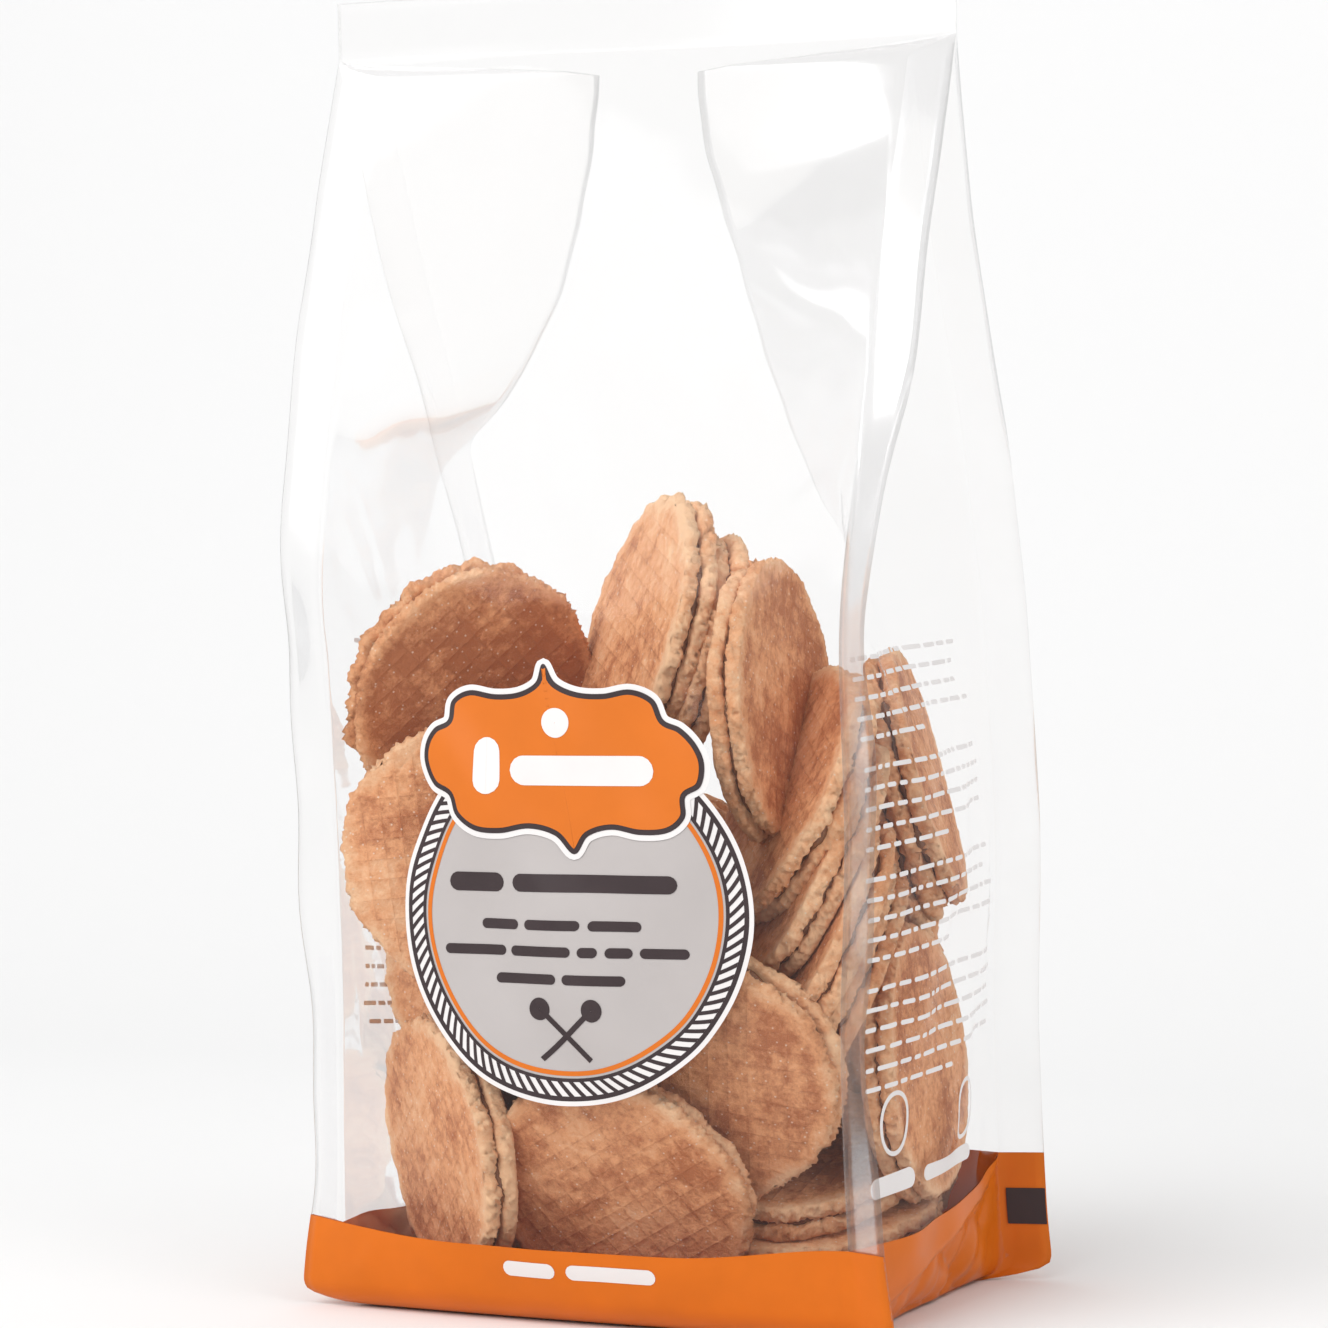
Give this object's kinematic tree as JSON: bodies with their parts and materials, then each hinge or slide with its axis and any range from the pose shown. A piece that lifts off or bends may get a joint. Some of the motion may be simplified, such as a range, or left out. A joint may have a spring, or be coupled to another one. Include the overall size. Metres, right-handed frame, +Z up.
{
  "type": "bag of mini caramel waffle biscuits",
  "caption": "Clear block-bottom film bag with welded corner strips, side gussets and a flat top seal, filled with small round caramel waffle biscuits.",
  "frame": {"origin": "on the floor, at the centre of the bag's outer box", "axes": "+Z up towards the top seal, +X along the bag's width to the right seen from the front, -Y out of the front panel with the label"},
  "size_m": [0.1224, 0.0932, 0.234],
  "materials": {
    "film": "clear glossy packaging film",
    "print": "glossy orange ink on the film",
    "label": "pale grey-white ink on the film",
    "dark_ink": "dark ink on the film",
    "wafer": "dry baked crust with a shallow grid",
    "filling": "dark caramel layer"
  },
  "bodies": {
    "root": {"bag": "film"}
  },
  "joints": []
}
